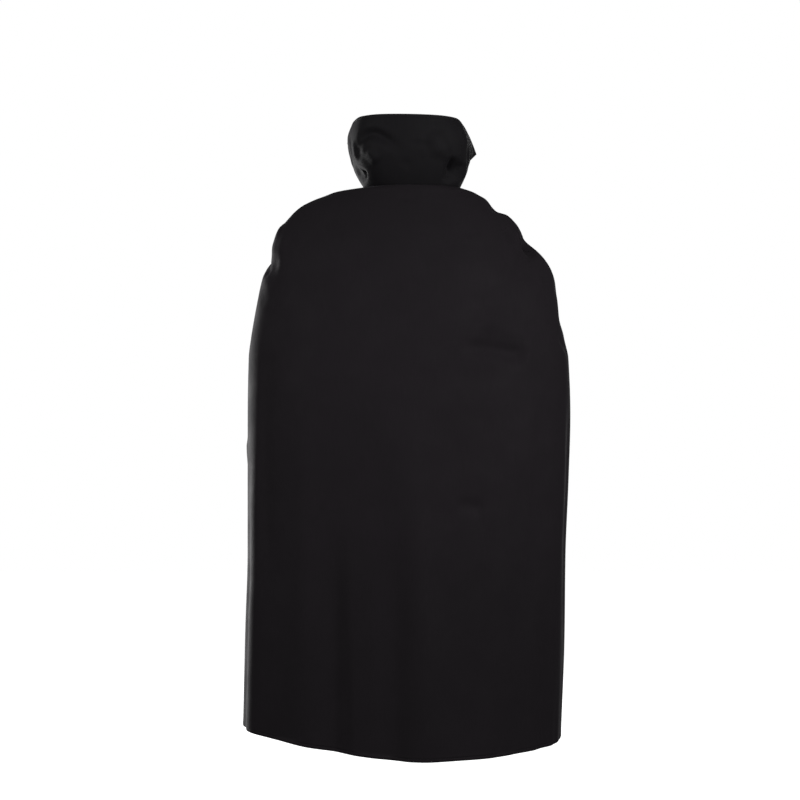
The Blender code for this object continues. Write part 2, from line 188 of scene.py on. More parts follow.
# %% The tables of folds
# A fold that runs out of the hem goes on to PAST_HEM. A depth below 0 is a ridge.
PAST_HEM = -1.900
HEM_LIP = -1.2165
LARGE_FOLDS = (
    # angle, height, to angle, to height, bow, width, depth
    (24.0, -0.700, 22.0, PAST_HEM, 0.0, 0.055, 0.010),
    (3.0, -0.680, 4.0, PAST_HEM, 0.0, 0.050, 0.007),
    (0.5, -0.400, -6.5, PAST_HEM, 0.0, 0.090, -0.014),
    (-38.0, -0.620, -40.0, PAST_HEM, 0.0, 0.060, 0.007),
    (48.0, -0.560, 47.0, PAST_HEM, 0.0, 0.070, 0.008),
    (66.0, -0.420, 68.0, PAST_HEM, 0.0, 0.050, -0.005),
    (-64.0, -0.380, -66.0, PAST_HEM, 0.0, 0.050, -0.005),
    (-20.0, -0.334, -44.0, -0.372, 0.0, 0.050, 0.008),
    (-124.0, -0.028, -58.0, -0.052, 0.0, 0.034, 0.008),
    (-118.0, -0.082, -52.0, -0.152, 0.0, 0.034, 0.007),
    (-70.0, -0.150, -100.0, -0.215, 0.0, 0.045, -0.005),
    (-84.0, -0.118, -63.0, -0.140, 0.0, 0.022, 0.010),
    (-80.0, -0.270, -110.0, -0.320, 0.0, 0.045, 0.005),
    (122.0, -0.126, 58.0, -0.190, 0.0, 0.038, 0.008),
    (84.0, -0.085, 100.0, -0.100, 0.0, 0.035, -0.004),
    (112.0, -0.260, 116.0, PAST_HEM, 0.0, 0.055, 0.016),
    (130.0, -0.200, 134.0, PAST_HEM, 0.0, 0.050, -0.014),
    (146.0, -0.280, 151.0, PAST_HEM, 0.0, 0.048, 0.018),
    (-110.0, -0.300, -113.0, PAST_HEM, 0.0, 0.052, 0.014),
    (-126.0, -0.230, -131.0, PAST_HEM, 0.0, 0.055, -0.015),
    (-145.0, -0.200, -148.0, PAST_HEM, 0.0, 0.048, 0.017),
)
FINE_FOLDS = (
    # angle, height, to angle, to height, bow, width, depth
    (-84.0, -0.126, -56.0, -0.168, 0.0, 0.016, 0.0040),
    (-60.0, -0.128, -48.0, -0.186, 0.0, 0.018, 0.0026),
    (-70.0, -0.172, -58.0, -0.240, 0.0, 0.022, -0.0022),
    (-92.0, -0.040, -66.0, -0.062, 0.0, 0.018, 0.0014),
    (-88.0, -0.112, -66.0, -0.129, 0.0, 0.013, 0.0080),
    (-88.0, -0.104, -67.0, -0.122, 0.0, 0.018, 0.0105),
    (-62.0, -0.088, -58.0, -0.128, 0.0, 0.022, 0.0030),
    (-71.0, -0.094, -70.0, -0.124, 0.0, 0.012, -0.0030),
    (-50.0, -0.050, -28.0, -0.120, 0.0, 0.030, 0.0018),
    (96.0, -0.150, 74.0, -0.196, 0.0, 0.014, 0.0036),
    (86.0, -0.196, 66.0, -0.262, 0.0, 0.024, 0.0012),
    (70.0, -0.100, 60.0, -0.190, 0.0, 0.024, -0.0020),
    (46.0, -0.060, 30.0, -0.150, 0.0, 0.032, 0.0018),
    (12.0, -0.030, -10.0, -0.034, 0.0, 0.016, 0.0014),
    (-14.0, -0.352, -44.0, -0.372, 0.0, 0.027, 0.0070),
    (-12.0, -0.684, -22.0, -0.696, 0.0, 0.024, 0.0040),
    (-44.0, -0.300, -60.0, -0.340, 0.0, 0.026, 0.0024),
    (-70.0, -0.330, -84.0, -0.372, 0.0, 0.018, 0.0030),
    (-50.0, -0.450, -47.0, -0.900, 0.0, 0.034, 0.0026),
    (-76.0, -0.440, -78.0, -1.050, 0.0, 0.026, 0.0030),
    (-1.0, -0.520, -7.5, PAST_HEM, 0.0, 0.040, -0.0030),
    (2.5, -0.600, 1.0, PAST_HEM, 0.0, 0.026, 0.0014),
    (22.0, -0.620, 20.5, PAST_HEM, 0.0, 0.038, 0.0050),
    (17.0, -0.900, 17.0, PAST_HEM, 0.0, 0.018, 0.0020),
    (34.0, -0.480, 36.0, -1.080, 0.0, 0.034, -0.0026),
    (24.0, -0.420, 21.0, PAST_HEM, 0.0, 0.150, 0.0100),
    (58.0, -0.300, 57.0, -0.880, 0.0, 0.030, 0.0028),
    (76.0, -0.620, 77.0, PAST_HEM, 0.0, 0.026, 0.0034),
    (84.0, -0.560, 96.0, -0.640, 0.0, 0.022, -0.0024),
    (-30.0, -0.980, -29.0, PAST_HEM, 0.0, 0.022, 0.0024),
    (-54.0, -0.860, -55.0, PAST_HEM, 0.0, 0.026, 0.0028),
    (-66.0, -1.000, -66.0, PAST_HEM, 0.0, 0.018, 0.0022),
    (104.0, -0.340, 106.0, -1.080, 0.0, 0.026, 0.0056),
    (122.0, -0.480, 124.0, PAST_HEM, 0.0, 0.022, -0.0050),
    (140.0, -0.120, 142.0, -0.560, 0.0, 0.024, 0.0046),
    (158.0, -0.420, 161.0, PAST_HEM, 0.0, 0.026, 0.0060),
    (118.0, -0.180, 138.0, -0.232, 0.0, 0.024, 0.0042),
    (128.0, -0.900, 127.0, PAST_HEM, 0.0, 0.018, 0.0042),
    (150.0, -0.060, 132.0, -0.150, 0.0, 0.022, 0.0034),
    (-104.0, -0.280, -103.0, -0.900, 0.0, 0.024, 0.0052),
    (-120.0, -0.560, -119.0, PAST_HEM, 0.0, 0.022, 0.0056),
    (-137.0, -0.360, -140.0, -1.240, 0.0, 0.026, -0.0050),
    (-157.0, -0.300, -161.0, PAST_HEM, 0.0, 0.028, 0.0062),
    (-114.0, -0.170, -136.0, -0.214, 0.0, 0.024, 0.0040),
    (-148.0, -0.050, -130.0, -0.140, 0.0, 0.022, 0.0034),
    (-152.0, -0.760, -150.0, PAST_HEM, 0.0, 0.018, 0.0040),
    (50.0, HEM_LIP, 36.0, HEM_LIP, 0.0, 0.0045, -0.0030),
    (15.0, HEM_LIP, 2.0, HEM_LIP, 0.0, 0.0045, -0.0030),
    (-29.0, HEM_LIP, -40.0, HEM_LIP, 0.0, 0.0045, -0.0022),
)
FOLD_FADE = 0.22
FOLD_STEPS = 9


def along_line(grid, line):
    """How far each point of a grid is from a line, and its share of the way along it."""
    away = np.full(grid.shape[:2], np.inf)
    share = np.zeros(grid.shape[:2])
    runs = len(line) - 1
    for i in range(runs):
        run = line[i + 1] - line[i]
        part = np.clip((grid - line[i]) @ run / (run @ run), 0.0, 1.0)
        gap = np.linalg.norm(grid - line[i] - part[:, :, None] * run, axis=2)
        share = np.where(gap < away, (i + part) / runs, share)
        away = np.minimum(gap, away)
    return away, share


def fold_depth(grid, table, place, fade):
    """How far the folds of a table push each point of a grid inwards."""
    total = np.zeros(grid.shape[:2])
    steps = np.linspace(0.0, 1.0, FOLD_STEPS)
    for first, second, to_first, to_second, bow, width, depth in table:
        bowed = second + (to_second - second) * steps + 4.0 * bow * steps * (1.0 - steps)
        line = place(first + (to_first - first) * steps, bowed)
        away, share = along_line(grid, line)
        profile = 0.5 + 0.5 * np.cos(math.pi * np.minimum(away / width, 1.0))
        total += depth * profile * smooth_step(np.minimum(share, 1.0 - share) / fade)
    return total


print("folds", len(LARGE_FOLDS), "and creases", len(FINE_FOLDS))


# %% [markdown]
# ## Sheets of cloth
# The cape is two cloths sewn back to back and turned right side out, so at each free edge
# the cloth rolls over, the seam allowance inside makes a low ridge, and a row of stitches
# holds it in a shallow groove. A flat plane with a solidify modifier would miss that. Each
# sheet is a grid of points with rows and columns crowded near the edges, and the outer and
# inner faces are raised or lowered by their distance from the edge.

# %% Grids, edges and their distances
EDGE_STEPS = (
    0.0, 0.0005, 0.0012, 0.0022, 0.0040, 0.0056, 0.0064, 0.0070, 0.0076, 0.0084, 0.0110, 0.0150,
)
EDGE_CLEAR = 0.006
STITCH_LINE = 0.0070
TURNED_RISE = 0.0005
TURNED_REACH = 0.014
TURNED_FADE = 0.006
GROOVE_DEPTH = 0.0007
GROOVE_HALF = 0.0009
RIM_ROUND = 0.0007
RIM_REACH = 0.0018
SEAM_ROLL = 0.0006
SEAM_REACH = 0.0035
FINE_COLUMNS = {"back": 176, "front": 84}
TOP_ROWS = (0.0, -0.0004, -0.0012, -0.0025, -0.0045, -0.0067)
SHOULDER_START = -0.009
SHOULDER_END = -0.060
UPPER_END = -0.380
FINE_ROWS = {"shoulder": 24, "upper": 60, "lower": 118}


def outward(grid):
    """The unit normals of a grid whose rows go down and whose columns go to the left."""
    normal = np.cross(np.gradient(grid, axis=1), np.gradient(grid, axis=0))
    return normal / np.linalg.norm(normal, axis=2, keepdims=True)


def softly_outward(grid, evenings):
    """Outward directions evened out along the rows, so a push across a ridge stays smooth."""
    way = outward(grid)
    for _ in range(evenings):
        way[:, 1:-1] = (way[:, :-2] + 2.0 * way[:, 1:-1] + way[:, 2:]) / 4.0
    return way / np.linalg.norm(way, axis=2, keepdims=True)


def turned_edge(away):
    """How far a face stands out at a distance from a turned and stitched edge."""
    rise = TURNED_RISE * smooth_step((TURNED_REACH - away) / TURNED_FADE)
    groove = GROOVE_DEPTH * np.exp(-(((away - STITCH_LINE) / GROOVE_HALF) ** 2))
    rim = RIM_ROUND * (1.0 - smooth_step(away / RIM_REACH))
    return rise - groove - rim


def seam_edge(away):
    """How far a face is drawn in at a distance from a seam."""
    return -SEAM_ROLL * (1.0 - smooth_step(away / SEAM_REACH))


def row_lengths(grid):
    """The distance along each row from its first column."""
    step = np.linalg.norm(np.diff(grid, axis=1), axis=2)
    return np.concatenate([np.zeros((len(grid), 1)), np.cumsum(step, axis=1)], axis=1)


def fine_heights():
    """Rows from the neck seam to the hem, crowded at the shoulders and at the hem."""
    shoulder = np.linspace(SHOULDER_START, SHOULDER_END, FINE_ROWS["shoulder"])[:-1]
    upper = np.linspace(SHOULDER_END, UPPER_END, FINE_ROWS["upper"])[:-1]
    lower = np.linspace(UPPER_END, HEM + EDGE_STEPS[-1] + EDGE_CLEAR, FINE_ROWS["lower"])
    edge = HEM + np.array(EDGE_STEPS[::-1])
    return np.concatenate([TOP_ROWS, shoulder, upper, lower, edge])


print("rows", len(fine_heights()))


# %% Where each column of a panel lies
ROUGH_STEPS = 500
PANEL_EVENINGS = 60


def even_columns(place, rows, start, end, columns, first_edge=(), last_edge=()):
    """Angles that lie evenly along each row of a form, with extra ones close to a turned edge."""
    share = np.linspace(0.0, 1.0, ROUGH_STEPS)[None, :]
    rough = start + (end - start) * share
    length = row_lengths(place(rough, rows))
    clear = EDGE_STEPS[-1] + EDGE_CLEAR
    angles = np.zeros((len(rows), columns + len(first_edge) + len(last_edge)))
    for row in range(len(rows)):
        whole = length[row, -1]
        low = clear if len(first_edge) else 0.0
        high = whole - (clear if len(last_edge) else 0.0)
        even = np.linspace(low, high, columns)
        wanted = np.concatenate([np.array(first_edge), even, whole - np.array(last_edge)[::-1]])
        angles[row] = np.interp(wanted, length[row], rough[row])
    return angles


def cape_angles(rows):
    """The angles of the right front, the back and the left front, side by side."""
    front_edge = 180.0 - section_value("opening", rows)
    seam = 0.0 * rows + SIDE_SEAM
    wide, narrow = FINE_COLUMNS["back"], FINE_COLUMNS["front"]
    back = even_columns(cape_points, rows, -seam, seam, wide)
    left = even_columns(cape_points, rows, seam, front_edge, narrow, (), EDGE_STEPS)
    right = even_columns(cape_points, rows, -front_edge, -seam, narrow, EDGE_STEPS)
    return np.hstack([right[:, :-1], back, left[:, 1:]])


heights = fine_heights()[:, None]
angles = cape_angles(heights)
plain = cape_points(angles, heights)
push = fold_depth(plain, LARGE_FOLDS, cape_points, FOLD_FADE)
push += fold_depth(plain, FINE_FOLDS, cape_points, FOLD_FADE)
cape_outer = plain - softly_outward(plain, PANEL_EVENINGS) * push[:, :, None]
print("grid", cape_outer.shape, "deepest fold in mm", round(float(push.max()) * 1000, 1))


# %% [markdown]
# ## From grids to closed pieces
# Each panel is cut from the one grid, so its neighbours meet it along the same seam. A piece
# is a thin closed wall: an outer face, an inner face and the rims between. Its UV map is
# the distance along the cloth in metres, which the woven finish reads.

# %% A closed wall with a UV map in metres
def wall_piece(name, outer, inner, across, along):
    """Makes a closed sheet from two grids. The inner faces get the second material slot."""
    rows, columns = outer.shape[:2]
    count = rows * columns
    index = np.arange(count).reshape(rows, columns)
    a, b, c, d = index[:-1, :-1], index[1:, :-1], index[1:, 1:], index[:-1, 1:]
    outside = np.stack([a, b, c, d], axis=-1).reshape(-1, 4)
    inside = outside[:, ::-1] + count
    rims = []
    edges = ((index[0], False), (index[-1], True), (index[:, 0], True), (index[:, -1], False))
    for line, turned in edges:
        rim = np.stack([line[:-1], line[1:], line[1:] + count, line[:-1] + count], axis=-1)
        rims.append(rim[:, ::-1] if turned else rim)
    faces = np.concatenate([outside, inside, *rims])
    mesh = bpy.data.meshes.new(name)
    points = np.concatenate([outer.reshape(-1, 3), inner.reshape(-1, 3)])
    mesh.from_pydata(points.tolist(), [], faces.tolist())
    layer = mesh.uv_layers.new(name="UVMap")
    place = np.tile(np.stack([across, along], axis=-1).reshape(-1, 2), (2, 1))
    loops = np.zeros(len(mesh.loops), dtype=np.int32)
    mesh.loops.foreach_get("vertex_index", loops)
    layer.data.foreach_set("uv", place[loops].ravel().astype(np.float32))
    slots = np.zeros(len(faces), dtype=np.int32)
    slots[len(outside) : 2 * len(outside)] = 1
    mesh.polygons.foreach_set("material_index", slots)
    mesh.polygons.foreach_set("use_smooth", np.ones(len(faces), dtype=bool))
    mesh.validate()
    mesh.update()
    piece = bpy.data.objects.new(name, mesh)
    bpy.context.scene.collection.objects.link(piece)
    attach(piece, "root")
    return piece


def cloth_area(grid):
    """The area of a grid of points, in square metres."""
    sides = np.cross(grid[1:, :-1] - grid[:-1, :-1], grid[:-1, 1:] - grid[:-1, :-1])
    other = np.cross(grid[1:, :-1] - grid[1:, 1:], grid[:-1, 1:] - grid[1:, 1:])
    return float((np.linalg.norm(sides, axis=2) + np.linalg.norm(other, axis=2)).sum() / 2.0)


# %% Cut the back and the two fronts
FAR_AWAY = 9.0
INNER_RELIEF = 0.0004


def dressed_faces(outer, wall, turned):
    """The outer and inner face of a sheet, with its turned edges and its seams.

    turned says which of the sides left, right, top and bottom are turned edges. The others
    are seams, where the cloth is drawn in.
    """
    across = row_lengths(outer)
    down = row_lengths(outer.transpose(1, 0, 2)).T
    sides = {
        "left": across,
        "right": across[:, -1:] - across,
        "top": down,
        "bottom": down[-1:] - down,
    }
    nearest = np.full(across.shape, FAR_AWAY)
    drawn_in = np.zeros(across.shape)
    for side, away in sides.items():
        if side in turned:
            nearest = np.minimum(nearest, away)
        else:
            drawn_in += seam_edge(away)
    normal = outward(outer)
    rise = turned_edge(nearest) + drawn_in
    face = outer + normal * rise[:, :, None]
    relief = np.clip(rise, -INNER_RELIEF, INNER_RELIEF)
    behind = outer - normal * (wall + relief)[:, :, None]
    return face, behind, normal, across - across[:, -1:] / 2.0, -down


right_seam = FINE_COLUMNS["front"] + len(EDGE_STEPS) - 1
left_seam = right_seam + FINE_COLUMNS["back"] - 1
last_column = cape_outer.shape[1] - 1
PANELS = (
    ("back_cloth", "back_panel", right_seam, left_seam, ("bottom",)),
    ("front_right_cloth", "front_right_panel", 0, right_seam, ("bottom", "left")),
    ("front_left_cloth", "front_left_panel", left_seam, last_column, ("bottom", "right")),
)
sheets = {}
for name, node, first, last, turned in PANELS:
    outer = cape_outer[:, first : last + 1]
    face, behind, normal, across, along = dressed_faces(outer, PANEL_WALL, turned)
    piece = wall_piece(name, face, behind, across, along)
    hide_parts(node)
    sheets[name] = (piece, face, behind, normal)
    down = [round(-float(along[-1, at]), 3) for at in (0, along.shape[1] // 2, -1)]
    hem = round(float(across[-1, -1] - across[-1, 0]), 3)
    print(name, "area", round(cloth_area(outer), 3), "hem", hem, "down its sides and middle", down)


# %% [markdown]
# ## The collar
# A cape collar that stands this tall is cut as a curved band with pointed front ends and a
# stiffening inside. Worn, it bulges, buckles at the sides and its points flare outwards.
# It could be one bent strip, but here upright ribs say where the cloth passes at half its
# height and at its top edge, and a table of creases gives the buckles.

# %% Ribs and creases of the collar
COLLAR_END = 168.0
COLLAR_WALL = 0.0024
SEAM_GAP = 0.0003
RIB_COLUMNS = ("angle", "mid_x", "mid_y", "mid_z", "top_x", "top_y", "top_z")
RIBS = (
    (-168.0, -0.080, -0.104, 0.014, -0.153, -0.112, 0.088),
    (-140.0, -0.124, -0.072, 0.040, -0.144, -0.082, 0.106),
    (-115.0, -0.137, -0.036, 0.064, -0.131, -0.046, 0.126),
    (-90.0, -0.135, 0.004, 0.076, -0.118, 0.000, 0.140),
    (-60.0, -0.118, 0.056, 0.076, -0.104, 0.048, 0.147),
    (-30.0, -0.066, 0.090, 0.075, -0.062, 0.084, 0.149),
    (0.0, 0.000, 0.101, 0.074, 0.000, 0.095, 0.150),
    (30.0, 0.065, 0.091, 0.075, 0.064, 0.085, 0.151),
    (60.0, 0.111, 0.057, 0.077, 0.105, 0.049, 0.151),
    (90.0, 0.127, 0.005, 0.079, 0.120, 0.000, 0.149),
    (115.0, 0.131, -0.036, 0.068, 0.129, -0.048, 0.140),
    (140.0, 0.119, -0.073, 0.045, 0.137, -0.086, 0.125),
    (168.0, 0.076, -0.104, 0.020, 0.139, -0.116, 0.112),
)
CREASES = (
    # angle, share of the height, to angle, to share, bow, width, depth
    (68.0, 0.44, 4.0, 0.36, 0.32, 0.022, 0.008),
    (63.0, 0.58, 59.0, 0.34, 0.0, 0.022, 0.006),
    (45.0, 0.52, 31.0, 0.30, 0.0, 0.026, -0.005),
    (-44.0, 0.42, -50.0, 0.04, 0.0, 0.024, 0.010),
    (-62.0, 0.36, -66.0, 0.04, 0.0, 0.030, 0.007),
    (-26.0, 0.80, -30.0, 0.34, 0.0, 0.030, -0.005),
    (96.0, 0.26, 62.0, 0.08, 0.0, 0.026, 0.008),
    (128.0, 0.74, 106.0, 0.30, 0.05, 0.026, 0.007),
    (-124.0, 0.70, -104.0, 0.28, 0.05, 0.026, 0.007),
)
FINE_CREASES = (
    # angle, share of the height, to angle, to share, bow, width, depth
    (60.0, 0.56, 7.0, 0.38, 0.26, 0.013, 0.0024),
    (63.0, 0.58, 59.0, 0.34, 0.0, 0.022, -0.0026),
    (73.0, 0.68, 69.0, 0.30, 0.0, 0.014, -0.0030),
    (-47.0, 0.34, -50.0, -0.10, 0.0, 0.030, 0.0080),
    (-76.0, 0.40, -78.0, 0.04, 0.0, 0.024, -0.0030),
    (73.0, 0.16, 56.0, 0.12, 0.02, 0.019, 0.0085),
    (44.0, 0.50, 31.0, 0.31, 0.03, 0.014, -0.0010),
    (36.0, 0.55, 20.0, 0.36, 0.08, 0.016, -0.0014),
    (-44.0, 0.42, -48.0, 0.08, 0.0, 0.010, 0.0045),
    (-54.0, 0.40, -62.0, 0.12, 0.0, 0.016, 0.0030),
    (-40.0, 0.62, -34.0, 0.30, 0.0, 0.014, -0.0022),
    (-60.0, 0.96, -70.0, 0.50, 0.0, 0.022, -0.0034),
    (2.0, 0.56, -24.0, 0.50, 0.04, 0.014, 0.0018),
    (-72.0, 0.60, -84.0, 0.16, 0.0, 0.012, 0.0030),
    (10.0, 0.34, -4.0, 0.24, 0.0, 0.016, 0.0014),
    (98.0, 0.84, 88.0, 0.36, 0.0, 0.014, 0.0032),
    (116.0, 0.60, 128.0, 0.22, 0.04, 0.014, 0.0034),
    (-98.0, 0.82, -92.0, 0.40, 0.0, 0.014, 0.0030),
    (-118.0, 0.56, -130.0, 0.20, 0.04, 0.014, 0.0032),
    (150.0, 0.72, 140.0, 0.36, 0.0, 0.012, 0.0026),
    (-150.0, 0.74, -142.0, 0.34, 0.0, 0.012, 0.0026),
)
CREASE_FADE = 0.35
CREASES_START = 0.12
COLLAR_FINE = {"columns": 210, "rows": 54}
COLLAR_HEIGHT = 0.155
SEAM_ALLOWANCE = 0.0025
SHARE_BELOW_EDGE = 0.03
COLLAR_EVENINGS = 30


def rib_value(name, angle):
    """One column of the ribs, at any angle."""
    known = column(RIBS, RIB_COLUMNS, "angle")
    return smooth_curve(known, column(RIBS, RIB_COLUMNS, name), angle)


def collar_points(angle, share):
    """Points of the collar's outer face without creases, by their share of its height."""
    turn = np.radians(angle)
    neck = dict(zip(SECTION_COLUMNS, SECTIONS[0]))
    base = {
        "x": np.where(turn > 0, neck["left"], neck["right"]) * np.sin(turn),
        "y": np.where(np.cos(turn) > 0, neck["back"], neck["front"]) * np.cos(turn),
        "z": SEAM_GAP - FRONT_NECK_DROP * np.maximum(-np.cos(turn), 0.0) ** NECK_DROP_POWER,
    }
    at_base = (1.0 - share) * (1.0 - 2.0 * share)
    at_middle = 4.0 * share * (1.0 - share)
    at_top = share * (2.0 * share - 1.0)
    point = [
        at_base * base[axis]
        + at_middle * rib_value("mid_" + axis, angle)
        + at_top * rib_value("top_" + axis, angle)
        for axis in "xyz"
    ]
    return np.stack(point, axis=-1)


# %% Build the collar
top_edge = 1.0 - np.array(EDGE_STEPS) / COLLAR_HEIGHT
seam_share = -SEAM_ALLOWANCE / COLLAR_HEIGHT
to_seam = np.linspace(top_edge[-1] - SHARE_BELOW_EDGE, seam_share, COLLAR_FINE["rows"])
collar_shares = np.concatenate([top_edge, to_seam])[:, None]
collar_ends = 0.0 * collar_shares + COLLAR_END
collar_angles = even_columns(
    collar_points, collar_shares, -collar_ends, collar_ends,
    COLLAR_FINE["columns"], EDGE_STEPS, EDGE_STEPS,
)
collar_plain = collar_points(collar_angles, collar_shares)
collar_push = fold_depth(collar_plain, CREASES, collar_points, CREASE_FADE)
collar_push += fold_depth(collar_plain, FINE_CREASES, collar_points, CREASE_FADE)
collar_push *= smooth_step(collar_shares / CREASES_START)
collar_way = softly_outward(collar_plain, COLLAR_EVENINGS)
collar_outer = collar_plain - collar_way * collar_push[:, :, None]
turned = ("left", "right", "top")
face, behind, normal, across, along = dressed_faces(collar_outer, COLLAR_WALL, turned)
collar_cloth = wall_piece("collar_cloth", face, behind, across, along)
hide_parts("collar")
sheets["collar_cloth"] = (collar_cloth, face, behind, normal)
top_length = float(row_lengths(collar_outer)[0, -1])
print("collar area", round(cloth_area(collar_outer), 3), "top edge", round(top_length, 3))


# %% [markdown]
# ## Stitches along the turned edges
# One row of lockstitch runs seven millimetres in from each free edge. A picture or a bump
# could stand for it, but a stitch has a little body that catches light, so each is a small
# thread-shaped diamond, and all those of one sheet are one joined piece.

# %% Thread laid in the grooves
STITCH_PITCH = 0.0032
STITCH_LENGTH = 0.0023
THREAD_HALF = 0.00022
THREAD_RISE = 1.2
THREAD_LIFT = 0.0001
GROOVE_STEP = EDGE_STEPS.index(STITCH_LINE)


def stitches(name, runs):
    """Lays stitches along lines of points, each with the outward direction of its cloth."""
    points, faces = [], []
    for line, way in runs:
        length = np.concatenate([[0.0], np.cumsum(np.linalg.norm(np.diff(line, axis=0), axis=1))])
        for start in np.arange(STITCH_PITCH, length[-1] - STITCH_PITCH, STITCH_PITCH):
            ends = [
                np.array([np.interp(start + extra, length, line[:, axis]) for axis in range(3)])
                for extra in (0.0, STITCH_LENGTH)
            ]
            up = np.array([np.interp(start, length, way[:, axis]) for axis in range(3)])
            run = (ends[1] - ends[0]) / np.linalg.norm(ends[1] - ends[0])
            side = np.cross(run, up)
            middle = (ends[0] + ends[1]) / 2.0
            first = len(points)
            points += [ends[0], ends[1]]
            for way_out in (up * THREAD_RISE, side, -up, -side):
                points.append(middle + THREAD_HALF * way_out)
            for i in range(4):
                this, after = first + 2 + i, first + 2 + (i + 1) % 4
                faces += [(first, this, after), (first + 1, after, this)]
    mesh = bpy.data.meshes.new(name)
    mesh.from_pydata([tuple(p) for p in points], [], faces)
    mesh.polygons.foreach_set("use_smooth", np.ones(len(faces), dtype=bool))
    mesh.update()
    piece = bpy.data.objects.new(name, mesh)
    bpy.context.scene.collection.objects.link(piece)
    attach(piece, "root")
    print(name, "stitches", len(points) // 6)
    return piece


def groove(name, row=None, column_at=None, rows=slice(None), columns=slice(None)):
    """A line of points in a stitching groove of a sheet, and its outward directions."""
    _, face, _, normal = sheets[name]
    at = (row, columns) if row is not None else (rows, column_at)
    return face[at] + normal[at] * THREAD_LIFT, normal[at]


hem_row, in_from_left, in_from_right = -1 - GROOVE_STEP, GROOVE_STEP, -1 - GROOVE_STEP
panel_thread = {
    "back_cloth": [groove("back_cloth", row=hem_row)],
    "front_left_cloth": [
        groove("front_left_cloth", row=hem_row, columns=slice(0, in_from_right)),
        groove("front_left_cloth", column_at=in_from_right, rows=slice(0, hem_row)),
    ],
    "front_right_cloth": [
        groove("front_right_cloth", row=hem_row, columns=slice(in_from_left, None)),
        groove("front_right_cloth", column_at=in_from_left, rows=slice(0, hem_row)),
    ],
    "collar_cloth": [
        groove("collar_cloth", row=GROOVE_STEP, columns=slice(in_from_left, in_from_right)),
        groove("collar_cloth", column_at=in_from_left, rows=slice(GROOVE_STEP, None)),
        groove("collar_cloth", column_at=in_from_right, rows=slice(GROOVE_STEP, None)),
    ],
}
threads = {}
for name, runs in panel_thread.items():
    threads[name] = stitches(name.replace("cloth", "stitches"), runs)


# %% [markdown]
# ## The ribbon tie
# The throat closes with a narrow satin ribbon on each side, knotted once, with two free ends.
# A curve with a flat bevel could follow the same path, but a ribbon widens out of its knot
# and its ends are cut to a notch, so it is a grid of lines across it, thin and closed.

# %% Ribbons from the front edges to the knot, and their ends
RIBBON_WALL = 0.0006
RIBBON_CLEAR = 0.0004
RIBBON_FROM_TOP = 0.0012
RIBBON_AT_EDGE = 0.0095
RIBBON_ACROSS = 13
RIBBON_SPAN_STEPS = 9
SELVEDGE_EXTRA = 0.35
SELVEDGE_POWER = 12
NOTCH_DEPTH = 0.0055
NOTCH_SHARES = (1.0, 0.75, 0.5, 0.25)
RIBBON_TO_KNOT = (
    # x, y, z, width
    (0.0150, -0.0768, -0.0540, 0.0086),
    (0.0083, -0.0796, -0.0545, 0.0070),
)
RIBBON_END = (
    # x, y, z, width
    (0.0031, -0.0800, -0.0616, 0.0050),
    (0.0048, -0.0850, -0.0700, 0.0080),
    (0.0078, -0.0930, -0.0840, 0.0120),
    (0.0110, -0.1030, -0.1080, 0.0120),
    (0.0150, -0.1170, -0.1440, 0.0120),
    (0.0172, -0.1300, -0.1820, 0.0120),
    (0.0150, -0.1390, -0.2180, 0.0120),
    (0.0185, -0.1470, -0.2520, 0.0120),
)
RIGHT_END_SHARE = 0.90
RIBBON_SIDES = (
    # side, mirror, column at the front edge, column beside it, share of the end's length
    ("left", 1.0, -1, -2, 1.0),
    ("right", -1.0, 0, 1, RIGHT_END_SHARE),
)


def throat_line(face, behind, edge, beside):
    """Points just clear of the top of a front edge, in the middle of the cloth."""
    away = face[:, edge] - face[:, beside]
    away /= np.linalg.norm(away, axis=1, keepdims=True)
    line = (face[:, edge] + behind[:, edge]) / 2.0 + away * RIBBON_CLEAR
    length = np.concatenate([[0.0], np.cumsum(np.linalg.norm(np.diff(line, axis=0), axis=1))])
    wanted = RIBBON_FROM_TOP + RIBBON_AT_EDGE * np.linspace(0.0, 1.0, RIBBON_ACROSS)
    return np.stack([np.interp(wanted, length, line[:, axis]) for axis in range(3)], axis=1)


def lines_across(table, mirror, way):
    """Lines of points across a ribbon, one for each row of its table."""
    steps = np.linspace(-0.5, 0.5, RIBBON_ACROSS)[:, None]
    lines = []
    for x, y, z, width in table:
        lines.append(np.array([x * mirror, y, z]) + steps * width * np.array(way))
    return lines


def ribbon(name, node, lines, notch):
    """A thin closed ribbon through lines of points, smooth along its length."""
    known = np.arange(len(lines), dtype=float)
    wanted = np.linspace(0.0, known[-1], (len(lines) - 1) * RIBBON_SPAN_STEPS + 1)
    lines = np.array(lines)
    grid = np.zeros((len(wanted), RIBBON_ACROSS, 3))
    for across in range(RIBBON_ACROSS):
        for axis in range(3):
            grid[:, across, axis] = smooth_curve(known, lines[:, across, axis], wanted)
    if notch:
        steps = np.linspace(-1.0, 1.0, RIBBON_ACROSS)
        last = grid[-1] - grid[-2]
        last /= np.linalg.norm(last, axis=1, keepdims=True)
        for back, share in enumerate(NOTCH_SHARES, 1):
            grid[-back] -= last * (NOTCH_DEPTH * (1.0 - np.abs(steps)) * share)[:, None]
    normal = outward(grid)
    from_middle = np.abs(np.linspace(-1.0, 1.0, RIBBON_ACROSS))
    edge = 1.0 + SELVEDGE_EXTRA * from_middle**SELVEDGE_POWER
    half = normal * (RIBBON_WALL / 2.0 * edge)[None, :, None]
    across = row_lengths(grid)
    down = row_lengths(grid.transpose(1, 0, 2)).T
    piece = wall_piece(name, grid + half, grid - half, across, -down)
    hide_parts(node)
    return piece, float(down[-1].mean())


